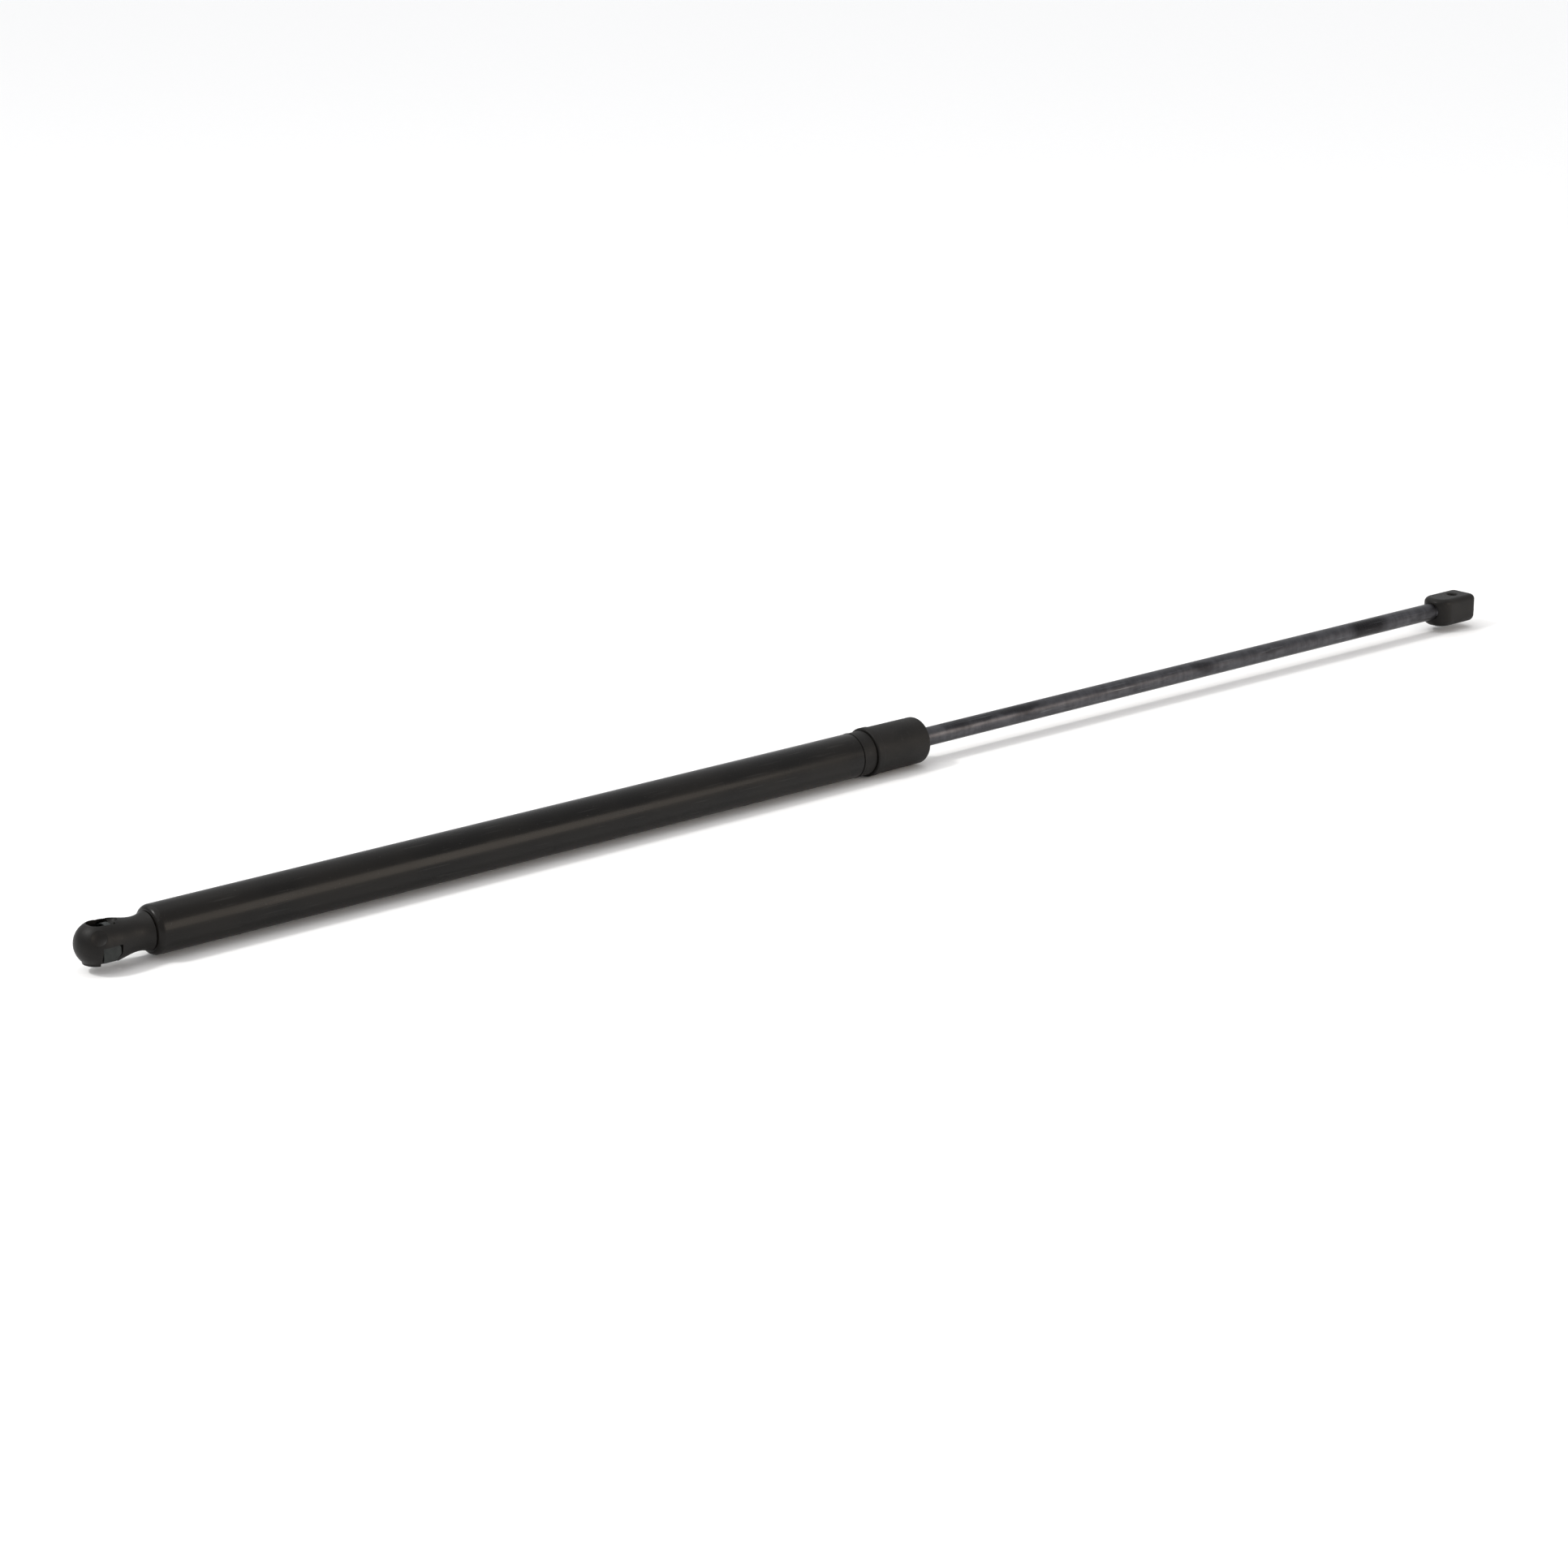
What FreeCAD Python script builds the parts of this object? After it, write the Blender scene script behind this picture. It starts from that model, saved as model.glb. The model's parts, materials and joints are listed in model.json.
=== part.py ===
import FreeCAD, Part
import math
import os
from FreeCAD import Vector

# Gas strut stay, in millimetres.
# Origin at the centre of the tube-side ball seat, +X along the strut towards the rod,
# +Z out of the backs of the ball sockets, whose mouths face -Z.

# --- driving sizes ---------------------------------------------------------
stroke = 300.0                  # rod travel
tube_outer_radius = 9.25
tube_wall = 1.2
rod_radius = 4.0
ball_radius = 5.0

overcut = 1.0                   # how far a cutting tool runs past a face

# tube-side ball socket
head_radius = ball_radius + 3.35        # round head about the ball centre
head_blend = 0.23                       # share of the head's radius where the shank begins
socket_length = ball_radius + 14.8      # ball centre to the tube's closed end
shoulder_radius = head_radius - 0.95
shoulder_to_end = 11.6
neck_waist_radius = head_radius - 2.0
waist_to_end = 5.7                      # waist to the shank's end face
head_top = ball_radius + 2.3
mouth_depth = ball_radius + 2.0         # ball centre to the mouth's rim
mouth_wall = 0.7
mouth_edge_wall = 0.35                  # the rim tapers to this at its edge
mouth_taper = 0.25                      # share of the mouth's depth that tapers
mouth_chamfer = 0.3
rim_notch = ball_radius + 0.9           # ball centre to the rim's notch for the clip
window_half_width = ball_radius - 1.1
window_start = 1.9 - ball_radius
window_corner = 3.2
window_floor = ball_radius - 0.4
seat_opening_ratio = 0.83               # opening above the seat, as a share of the seat's radius
scoop_radius = 3.0                      # hollow that guides a screwdriver tip into the window
scoop_depth = 1.6
dish_radius = 5.4                       # finger dish on each cheek
dish_depth = 1.3
dish_direction = (-2.9, 7.2, 4.3)

# tube-side safety clip, bent from spring strip
strip_thickness = 0.7
clip_lift = 0.8                         # travel to the released position
leg_outside = ball_radius + 2.3
leg_start = -1.6
leg_end = ball_radius + 0.4
leg_bottom = -ball_radius - 0.4
leg_top = 0.5
leg_corner = 2.2                        # corner cut off the leg's lower end
leg_top_corner = 1.2
strap_start = 2.4
strap_width = 2.4
strap_radius = ball_radius + 1.6        # outside of the strap's arc over the ball
strap_foot = 2.4                        # height where the arc turns out to the leg
toe_width = 4.0
toe_top = -0.52 * ball_radius
toe_clearance = 0.02
cheek_cover_bottom = 0.2                # skin that keeps the legs in
clip_gap = 0.22                         # running gap round each clip
cheek_slit = 0.45                       # open slit round the leg where it shows

# rod-side ball socket
block_length_behind = ball_radius + 10.7    # ball centre to the rod's face
block_length_ahead = ball_radius + 5.1
block_half_width = ball_radius + 2.5
block_top = ball_radius + 1.1
block_bottom = ball_radius + 2.2
block_rod_corner = 7.0                  # upright corners, rod side and far end
block_end_corner = 3.4
block_top_round = 2.6
block_bottom_round = 3.2
vent_radius = 2.3
vent_bevel = 0.6
rod_thread_length = 9.1
thread_depth = 0.1

# rod-side safety clip, a flat fork
fork_thickness = 0.8
fork_top = -0.32 * ball_radius
fork_arm_width = 1.5
fork_reach = 0.8 * ball_radius          # how far the arms reach past the ball centre
fork_stand = 0.5                        # how far the pull tab stands out of the block
fork_tab_half_width = 3.2

# closed end of the tube
closed_wall = 1.4
closed_lip = 2.45                       # how far the closed end turns in past the bore
closed_shoulder_length = 2.9
closed_shoulder_drop = 1.75             # how far the rolled shoulder falls to the socket
neck_flare_step = 0.1                   # socket's end face inside the shoulder's edge
plug_length = 10.0
stud_radius = 4.0
stud_in_plug = 6.5
stud_in_socket = 11.2
plug_ring_groove_start = 4.2
plug_ring_groove_width = 2.5
plug_ring_section_radius = 0.92
plug_gap = 7.1                          # rod's rivet to plug, strut compressed

# collar and cap over the rod end of the tube
sleeve_length = 37.5                    # collar's outer edge to the cap's outer face
collar_length = 7.3
collar_wall = 0.58
collar_bead_height = 0.17
collar_bead_length = 0.6
seat_step = 0.55                        # depth by which the tube is turned down
cap_lip_radius = tube_outer_radius + 1.0
cap_lip_length = 3.5
cap_lip_round = 0.9
cap_lip_edge_ratio = 0.8                # inner edge's round, as a share of the lip's step
cap_front_radius = tube_outer_radius + 0.67
cap_back_radius = tube_outer_radius + 0.58
cap_end_round = 2.2
cap_end_wall = 2.6
tube_to_cap_wall = 0.4
tube_lip_thickness = 1.0
tube_lip = 1.85                         # how far the rolled lip turns in past the bore
tube_lip_round = 1.3

# guide pack, from the buffer outwards; a share is of the room between rod and bore
buffer_length = 4.0
buffer_inner_share = 0.3                # bore of the buffer, out from the rod
buffer_chamfer_share = 0.2
stop_ring_thickness = 1.2
stop_ring_groove_depth = 0.5
stop_ring_stand = 1.15                  # how far the ring stands into the bore
stop_ring_gap_angle = 24.0
spacer_length = 13.6
spacer_wall = 1.0
washer_thickness = 1.2
washer_bore_gap = 0.4
seal_length = 7.0
seal_groove_depth = 4.0
seal_lip_share = 0.32                   # each lip's share of the seal's wall
seal_fit = 0.02
guide_length = 12.0
bush_outer_radius = rod_radius + 1.0
bush_length = 11.0
bush_fit = 0.03
wiper_fit = 0.04
wiper_outer_radius = rod_radius + 1.8
wiper_flange_share = 0.79
wiper_flange_thickness = 0.35
wiper_recess = 0.3

# piston
stop_gap = 0.2                          # piston washer to buffer, strut extended
piston_gap = 0.45                       # piston to tube bore
piston_washer_share = 0.26              # gap outside the piston washer
piston_washer_thickness = 1.2
piston_length = 6.0
spigot_radius = rod_radius - 1.0
rivet_radius = rod_radius + 0.3
rivet_length = 1.5
rivet_round_ratio = 0.6
disc_share = 0.457                      # gap outside the disc
disc_thickness = 0.6
piston_ring_width = 2.6
piston_ring_wall = 1.5
piston_ring_fit = 0.05                  # ring to tube bore
piston_ring_side_gap = 0.1
piston_ring_root_gap = 0.1
piston_ring_slit = 0.8
orifice_radius = 0.5

# exposed rod
rod_spare = 36.3                        # bare rod left between cap and socket, strut compressed

# --- sizes that follow -----------------------------------------------------
tube_bore = tube_outer_radius - tube_wall
room = tube_bore - rod_radius
tube_seat_radius = tube_outer_radius - seat_step
seat_radius = ball_radius + 0.05
mouth_radius = ball_radius + 0.2
closed_shoulder_radius = tube_outer_radius - closed_shoulder_drop
closed_opening_radius = tube_bore - closed_lip
neck_flare_radius = closed_shoulder_radius - neck_flare_step
toe_room_bottom = toe_top - strip_thickness - clip_gap
fork_bottom = fork_top - fork_thickness
fork_inner = math.sqrt(ball_radius**2 - fork_top**2) + toe_clearance
block_length = block_length_behind + block_length_ahead

tube_start = socket_length
plug_start = tube_start + closed_wall
rivet_start = plug_start + plug_length + plug_gap + stroke
disc_start = rivet_start + rivet_length
piston_start = disc_start + disc_thickness
piston_end = piston_start + piston_length
rod_shoulder = piston_end + piston_washer_thickness
buffer_start = rod_shoulder + stop_gap
stop_ring_start = buffer_start + buffer_length
spacer_start = stop_ring_start + stop_ring_thickness
retainer_start = spacer_start + spacer_length
seal_start = retainer_start + washer_thickness
seal_washer_start = seal_start + seal_length
guide_start = seal_washer_start + washer_thickness
guide_end = guide_start + guide_length
tube_end = guide_end + tube_lip_thickness
cap_end = tube_end + tube_to_cap_wall + cap_end_wall
collar_start = cap_end - sleeve_length
collar_end = collar_start + collar_length
rod_face = cap_end + rod_spare + stroke
ball_centres = rod_face + block_length_behind

ring_outer_radius = tube_bore - piston_ring_fit
ring_inner_radius = ring_outer_radius - piston_ring_wall
ring_start = piston_start + (piston_length - piston_ring_width) / 2.0
piston_radius = tube_bore - piston_gap
disc_radius = tube_bore - room * disc_share
piston_washer_radius = tube_bore - room * piston_washer_share
buffer_inner_radius = rod_radius + room * buffer_inner_share
buffer_chamfer = room * buffer_chamfer_share
wiper_flange_radius = rod_radius + room * wiper_flange_share
orifice_offset = (rivet_radius + disc_radius) / 2.0


# --- shape helpers ---------------------------------------------------------
def disc_x(radius, start, end):
    """Solid cylinder about the strut's axis, from start to end along X."""
    return Part.makeCylinder(radius, end - start, Vector(start, 0, 0), Vector(1, 0, 0))


def ring_x(outer, inner, start, end):
    """Plain ring about the strut's axis."""
    return disc_x(outer, start, end).cut(disc_x(inner, start, end))


def block(x0, x1, y0, y1, z0, z1):
    """Box between two corners."""
    return Part.makeBox(x1 - x0, y1 - y0, z1 - z0, Vector(x0, y0, z0))


def post(radius, z0, z1):
    """Cylinder about the ball's own vertical axis."""
    return Part.makeCylinder(radius, z1 - z0, Vector(0, 0, z0))


def turned(edges):
    """Turns a closed chain of edges in the XZ plane about the strut's axis."""
    face = Part.Face(Part.Wire(edges))
    return face.revolve(Vector(0, 0, 0), Vector(1, 0, 0), 360)


def path(points):
    """Straight edges through (x, radius) points."""
    corners = [Vector(x, 0, radius) for x, radius in points]
    return [Part.LineSegment(a, b).toShape() for a, b in zip(corners, corners[1:])]


def revolve(points):
    """Turns a closed outline of (x, radius) points about the strut's axis."""
    return turned(path(points + points[:1]))


def upright(shape):
    """Edges that run along Z."""
    return [edge for edge in shape.Edges if abs(edge.tangentAt(edge.FirstParameter).z) > 0.99]


def level(shape, z):
    """Edges that lie in one horizontal plane."""
    return [edge for edge in shape.Edges if edge.BoundBox.ZMax < z + 1e-3 and edge.BoundBox.ZMin > z - 1e-3]


def side_plate(points, y0, y1):
    """Flat plate between two Y planes with an outline of (x, z) points."""
    corners = [Vector(x, y0, z) for x, z in points]
    face = Part.Face(Part.makePolygon(corners + corners[:1]))
    return face.extrude(Vector(0, y1 - y0, 0))


def circle_edges(shape, x, radius):
    """Edges that are circles about the strut's axis at one place and size."""
    found = []
    for edge in shape.Edges:
        if isinstance(edge.Curve, Part.Circle):
            centre = edge.Curve.Center
            same_place = abs(centre.x - x) < 1e-3 and abs(edge.Curve.Radius - radius) < 1e-3
            if same_place and abs(edge.Curve.Axis.x) > 0.99:
                found.append(edge)
    return found


def round_ring(shape, x, radius, size):
    """Fillets the circular edge at one place and size."""
    return shape.makeFillet(size, circle_edges(shape, x, radius))


def chamfer_ring(shape, x, radius, size):
    """Chamfers the circular edge at one place and size."""
    return shape.makeChamfer(size, circle_edges(shape, x, radius))


def both_cheeks(shape):
    """A shape on the -Y side together with its mirror image."""
    return shape.fuse(shape.mirror(Vector(0, 0, 0), Vector(0, 1, 0)))


def save(name, shape):
    """Writes one named piece."""
    solid = shape.removeSplitter()
    if len(solid.Solids) == 1:
        solid = solid.Solids[0]
    solid.exportStep(os.path.join("parts", name + ".step"))


# --- tube-side ball socket and its clip ------------------------------------
def socket_outline():
    """Round head running into a waisted, flared shank, as one turned body."""
    blend_x = head_radius * head_blend
    blend_radius = math.sqrt(head_radius**2 - blend_x**2)
    middle = head_radius / math.sqrt(2.0)
    head = Part.Arc(Vector(-head_radius, 0, 0), Vector(-middle, 0, middle), Vector(blend_x, 0, blend_radius))
    shank = Part.BSplineCurve()
    shank.interpolate(
        [
            Vector(blend_x, 0, blend_radius),
            Vector(socket_length - shoulder_to_end, 0, shoulder_radius),
            Vector(socket_length - waist_to_end, 0, neck_waist_radius),
            Vector(socket_length, 0, neck_flare_radius),
        ]
    )
    back = path([(socket_length, neck_flare_radius), (socket_length, 0), (-head_radius, 0)])
    return turned([head.toShape(), shank.toShape()] + back)


def clip_slots():
    """Room in the head for the clip to sit and to lift."""
    far = head_radius * 2.0
    inside = leg_outside - strip_thickness
    open_leg = side_plate(leg_outline(cheek_slit, cheek_cover_bottom, 0.0), -far, -inside)
    room_top = leg_top + clip_lift + clip_gap
    covered_leg = side_plate(
        leg_outline(clip_gap, room_top, leg_top_corner),
        -leg_outside - clip_gap,
        clip_gap - inside,
    )
    start = strap_start - clip_gap
    end = strap_start + strap_width + clip_gap
    strap_room = strap_section(clip_gap, clip_lift, start, end)
    toe_room = block(
        leg_start - clip_gap,
        leg_start + toe_width + clip_gap,
        -inside - clip_gap,
        -seat_radius / 2.0,
        toe_room_bottom,
        toe_top + clip_lift + clip_gap,
    )
    return both_cheeks(open_leg.fuse([covered_leg, toe_room])).fuse(strap_room)


def leg_outline(gap, top, top_corner):
    """Outline of a leg seen from the side, grown by a gap, with two corners cut off."""
    x0 = leg_start - gap
    x1 = leg_end + gap
    bottom = leg_bottom - gap
    cut = leg_corner + gap * (math.sqrt(2.0) - 1.0)
    points = [(x0, bottom), (x1 - leg_corner, bottom), (x1, bottom + cut)]
    return points + [(x1, top - top_corner), (x1 - top_corner, top), (x0, top)]


def strap_section(gap, lift, start, end):
    """The strap over the ball and its feet, grown by a gap and drawn upwards by a lift."""
    outer = strap_radius + gap
    inner = strap_radius - strip_thickness - gap
    far = outer + lift + overcut
    arc = disc_x(outer, start, end)
    if lift:
        lifted = disc_x(outer, start, end)
        lifted.translate(Vector(0, 0, lift))
        arc = arc.fuse([lifted, block(start, end, -outer, outer, 0, lift)])
    arc = arc.cut(disc_x(inner, start, end))
    arc = arc.cut(block(start, end, -far, far, -far, strap_foot))
    foot_outer = math.sqrt(strap_radius**2 - strap_foot**2) + gap
    foot_inner = math.sqrt(inner**2 - strap_foot**2)
    corners = [
        Vector(start, -foot_outer, strap_foot + lift),
        Vector(start, -leg_outside - gap, leg_top + lift),
        Vector(start, -leg_outside - gap, leg_top - strip_thickness),
        Vector(start, strip_thickness + gap - leg_outside, leg_top - strip_thickness),
        Vector(start, -foot_inner, strap_foot),
    ]
    foot = Part.Face(Part.makePolygon(corners + corners[:1])).extrude(Vector(end - start, 0, 0))
    return arc.fuse(both_cheeks(foot))


def tube_ball_socket():
    """Moulded socket on the tube's closed end."""
    body = socket_outline()
    rim_height = mouth_depth * mouth_taper
    rim_edge = Vector(0, 0, -mouth_depth)
    rim = Part.makeCone(mouth_radius + mouth_edge_wall, mouth_radius + mouth_wall, rim_height, rim_edge)
    body = body.fuse(rim)
    far = head_radius * 2.0
    body = body.cut(block(-far, far, -far, far, head_top, far))
    body = body.cut(block(-far, far, -far, far, -far, -mouth_depth))
    notch_start = leg_start - clip_gap
    notch_end = leg_end + clip_gap
    body = body.cut(block(notch_start, notch_end, -far, far, -far, -rim_notch))
    window = block(window_start, leg_end + clip_gap, -window_half_width, window_half_width, window_floor, far)
    window = window.makeFillet(window_corner, upright(window)[:2])
    seat_opening = post(seat_radius * seat_opening_ratio, 0, window_floor + overcut)
    scoop_centre = Vector(leg_end + clip_gap, 0, head_top - scoop_depth + scoop_radius)
    scoop = Part.makeSphere(scoop_radius, scoop_centre)
    direction = Vector(dish_direction[0], -dish_direction[1], dish_direction[2])
    direction.normalize()
    dish = Part.makeSphere(dish_radius, direction * (head_radius - dish_depth + dish_radius))
    stud_bore = disc_x(stud_radius, socket_length - stud_in_socket, socket_length)
    body = body.cut(window)
    body = body.cut(scoop)
    body = body.cut(both_cheeks(dish))
    body = body.cut(clip_slots())
    body = body.cut(ball_space(mouth_depth, toe_room_bottom))
    body = body.cut(seat_opening)
    return body.cut(stud_bore)


def ball_space(depth, mouth_top):
    """Ball seat that widens gently into the straight mouth below the clip."""
    throat = Part.makeCone(mouth_radius, seat_radius, -mouth_top, Vector(0, 0, mouth_top))
    mouth = post(mouth_radius, -depth, mouth_top)
    flare = Part.makeCone(mouth_radius + mouth_chamfer, mouth_radius, mouth_chamfer, Vector(0, 0, -depth))
    return Part.makeSphere(seat_radius).fuse([throat, mouth, flare])


def tube_clip():
    """Spring-steel clip: a strap over the ball, two legs and two toes under the ball."""
    inside = leg_outside - strip_thickness
    leg = side_plate(leg_outline(0.0, leg_top, leg_top_corner), -leg_outside, -inside)
    toe_tip = math.sqrt(ball_radius**2 - toe_top**2) + toe_clearance
    toe_end = leg_start + toe_width
    toe = block(leg_start, toe_end, -inside, -toe_tip, toe_top - strip_thickness, toe_top)
    strap = strap_section(0.0, 0.0, strap_start, strap_start + strap_width)
    return strap.fuse(both_cheeks(leg.fuse(toe)))


# --- rod-side ball socket and its clip -------------------------------------
def rod_ball_socket():
    """Moulded socket on the rod, a soft-edged block."""
    body = block(
        -block_length_behind,
        block_length_ahead,
        -block_half_width,
        block_half_width,
        -block_bottom,
        block_top,
    )
    rod_side = [edge for edge in upright(body) if edge.CenterOfMass.x < 0]
    body = body.makeFillet(block_rod_corner, rod_side)
    far_side = [edge for edge in upright(body) if edge.CenterOfMass.x > block_length_ahead - clip_gap]
    body = body.makeFillet(block_end_corner, far_side)
    body = body.makeFillet(block_top_round, level(body, block_top))
    body = body.makeFillet(block_bottom_round, level(body, -block_bottom))
    vent = post(vent_radius, 0, block_top + overcut)
    bevel_foot = Vector(0, 0, block_top - vent_bevel)
    bevel = Part.makeCone(vent_radius, vent_radius + vent_bevel, vent_bevel, bevel_foot)
    bore_end = rod_thread_length - block_length_behind
    bore = disc_x(rod_radius - thread_depth, -block_length_behind - overcut, bore_end)
    body = body.cut(ball_space(block_bottom, fork_bottom - clip_gap))
    body = body.cut(vent)
    body = body.cut(bevel)
    body = body.cut(bore)
    body = body.cut(fork_slot())
    body.translate(Vector(ball_centres, 0, 0))
    return body


def fork_slot():
    """Slot for the fork, open at the block's far end."""
    outer = fork_inner + fork_arm_width + clip_gap
    bottom = fork_bottom - clip_gap
    return block(-fork_reach - clip_gap, block_length, -outer, outer, bottom, fork_top + clip_gap)


def rod_clip():
    """Flat spring-steel fork that slides out of the block's far end."""
    outer = fork_inner + fork_arm_width
    base_end = block_length_ahead - fork_stand
    tab_end = block_length_ahead + fork_stand
    fork = block(-fork_reach, base_end, -outer, outer, fork_bottom, fork_top)
    fork = fork.cut(post(fork_inner, fork_bottom, fork_top))
    fork = fork.cut(block(-block_length, 0, -fork_inner, fork_inner, fork_bottom, fork_top))
    half_width = fork_tab_half_width
    fork = fork.fuse(block(base_end, tab_end, -half_width, half_width, fork_bottom, fork_top))
    fork.translate(Vector(ball_centres, 0, 0))
    return fork


# --- tube and its closed end -----------------------------------------------
def pressure_tube():
    """Tube rolled in at both ends and turned down under the collar and the cap."""
    run_out = closed_shoulder_length * (1.0 - math.sqrt(0.5))
    rise = tube_outer_radius - closed_shoulder_radius
    shoulder = Part.Arc(
        Vector(tube_start, 0, closed_shoulder_radius),
        Vector(tube_start + run_out, 0, closed_shoulder_radius + rise * math.sqrt(0.5)),
        Vector(tube_start + closed_shoulder_length, 0, tube_outer_radius),
    )
    outline = [
        (tube_start + closed_shoulder_length, tube_outer_radius),
        (collar_start, tube_outer_radius),
        (collar_start, tube_seat_radius),
        (tube_end, tube_seat_radius),
        (tube_end, tube_bore - tube_lip),
        (guide_end, tube_bore - tube_lip),
        (guide_end, tube_bore),
        (plug_start, tube_bore),
        (plug_start, closed_opening_radius),
        (tube_start, closed_opening_radius),
        (tube_start, closed_shoulder_radius),
    ]
    tube = turned([shoulder.toShape()] + path(outline))
    tube = round_ring(tube, tube_end, tube_seat_radius, tube_lip_round)
    groove_radius = tube_bore + stop_ring_groove_depth
    return tube.cut(ring_x(groove_radius, tube_bore - overcut, stop_ring_start, spacer_start))


def end_plug():
    """Steel plug held by the tube's closed end, grooved for its seal."""
    plug = disc_x(tube_bore, plug_start, plug_start + plug_length)
    plug = plug.fuse(disc_x(closed_opening_radius, tube_start, plug_start))
    groove_start = plug_start + plug_ring_groove_start
    groove_radius = tube_bore - 2.0 * plug_ring_section_radius
    groove_end = groove_start + plug_ring_groove_width
    plug = plug.cut(ring_x(tube_bore + overcut, groove_radius, groove_start, groove_end))
    return plug.cut(disc_x(stud_radius, tube_start, plug_start + stud_in_plug))


def end_plug_o_ring():
    """Seal ring in the plug's groove."""
    middle = plug_start + plug_ring_groove_start + plug_ring_groove_width / 2.0
    ring_radius = tube_bore - plug_ring_section_radius
    return Part.makeTorus(ring_radius, plug_ring_section_radius, Vector(middle, 0, 0), Vector(1, 0, 0))


def end_stud():
    """Stud that joins the plug and the tube-side socket."""
    return disc_x(stud_radius, socket_length - stud_in_socket, plug_start + stud_in_plug)


# --- guide pack ------------------------------------------------------------
def rod_guide():
    """Guide body held by the tube's rolled lip."""
    return ring_x(tube_bore, bush_outer_radius, guide_start, guide_end)


def guide_bush():
    """Lined bush that the rod runs in."""
    inset = (guide_length - bush_length) / 2.0
    return ring_x(bush_outer_radius, rod_radius + bush_fit, guide_start + inset, guide_end - inset)


def flat_washer(start):
    """Washer on one side of the rod seal."""
    return ring_x(tube_bore, rod_radius + washer_bore_gap, start, start + washer_thickness)


def rod_seal():
    """Lip seal with its open side towards the gas."""
    seal = ring_x(tube_bore, rod_radius + seal_fit, seal_start, seal_start + seal_length)
    lip = room * seal_lip_share
    groove_outer = tube_bore - lip
    groove_inner = rod_radius + seal_fit + lip
    middle = (groove_outer + groove_inner) / 2.0
    groove = revolve(
        [
            (seal_start, groove_inner),
            (seal_start, groove_outer),
            (seal_start + seal_groove_depth, middle),
        ]
    )
    return seal.cut(groove)


def spacer_sleeve():
    """Sleeve that carries the guide pack on the stop ring."""
    return ring_x(tube_bore, tube_bore - spacer_wall, spacer_start, retainer_start)


def stop_ring():
    """Split steel ring sprung into the tube's inner groove."""
    outer = tube_bore + stop_ring_groove_depth
    ring = ring_x(outer, tube_bore - stop_ring_stand, stop_ring_start, spacer_start)
    half_gap = outer * math.sin(math.radians(stop_ring_gap_angle / 2.0))
    return ring.cut(block(stop_ring_start, spacer_start, -half_gap, half_gap, 0, outer + overcut))


def buffer_ring():
    """Rubber ring that cushions the piston at full extension."""
    ring = ring_x(tube_bore, buffer_inner_radius, buffer_start, stop_ring_start)
    return chamfer_ring(ring, buffer_start, buffer_inner_radius, buffer_chamfer)


def wiper_ring():
    """Lip that keeps dirt off the rod, flanged behind the cap's end wall."""
    wall_start = cap_end - cap_end_wall
    flange_start = wall_start - wiper_flange_thickness
    flange = ring_x(wiper_flange_radius, rod_radius + wiper_fit, flange_start, wall_start)
    lip = ring_x(wiper_outer_radius, rod_radius + wiper_fit, wall_start, cap_end - wiper_recess)
    return chamfer_ring(flange.fuse(lip), cap_end - wiper_recess, wiper_outer_radius, wiper_recess)


# --- collar and cap --------------------------------------------------------
def cap_collar():
    """Thin sleeve with a raised bead, between the tube and the cap."""
    outer = tube_seat_radius + collar_wall
    sleeve = ring_x(outer, tube_seat_radius, collar_start, collar_end)
    bead_end = collar_start + collar_bead_length
    bead = ring_x(outer + collar_bead_height, tube_seat_radius, collar_start, bead_end)
    return sleeve.fuse(bead)


def end_cap():
    """Moulded cap over the rod end of the tube."""
    lip_end = collar_end + cap_lip_length
    inner_end = cap_end - cap_end_wall
    cap = revolve(
        [
            (collar_end, tube_seat_radius),
            (collar_end, cap_lip_radius),
            (lip_end, cap_lip_radius),
            (lip_end, cap_front_radius),
            (cap_end, cap_back_radius),
            (cap_end, wiper_outer_radius),
            (inner_end, wiper_outer_radius),
            (inner_end, tube_seat_radius),
        ]
    )
    cap = round_ring(cap, cap_end, cap_back_radius, cap_end_round)
    cap = round_ring(cap, collar_end, cap_lip_radius, cap_lip_round)
    lip_edge_round = (cap_lip_radius - cap_front_radius) * cap_lip_edge_ratio
    return round_ring(cap, lip_end, cap_lip_radius, lip_edge_round)


# --- rod and piston --------------------------------------------------------
def piston_rod():
    """Rod with its riveted spigot at the piston and its thread in the socket."""
    rod = disc_x(rod_radius, rod_shoulder, rod_face)
    spigot = disc_x(spigot_radius, rivet_start, rod_shoulder)
    rivet = disc_x(rivet_radius, rivet_start, disc_start)
    thread = disc_x(rod_radius - thread_depth, rod_face, rod_face + rod_thread_length)
    rod = rod.fuse([spigot, rivet, thread])
    return round_ring(rod, rivet_start, rivet_radius, rivet_length * rivet_round_ratio)


def piston_washer():
    """Washer between the rod's shoulder and the piston."""
    return ring_x(piston_washer_radius, spigot_radius, piston_end, rod_shoulder)


def piston():
    """Piston with its ring groove and a metering hole."""
    body = ring_x(piston_radius, spigot_radius, piston_start, piston_end)
    groove_start = ring_start - piston_ring_side_gap
    groove_end = ring_start + piston_ring_width + piston_ring_side_gap
    groove_radius = ring_inner_radius - piston_ring_root_gap
    body = body.cut(ring_x(piston_radius + overcut, groove_radius, groove_start, groove_end))
    return body.cut(metering_hole(piston_start, piston_end))


def metering_hole(start, end):
    """Small passage that lets gas through the piston."""
    return Part.makeCylinder(orifice_radius, end - start, Vector(start, 0, orifice_offset), Vector(1, 0, 0))


def orifice_disc():
    """Thin disc that throttles the piston's passage."""
    disc = ring_x(disc_radius, spigot_radius, disc_start, piston_start)
    return disc.cut(metering_hole(disc_start, piston_start))


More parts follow.
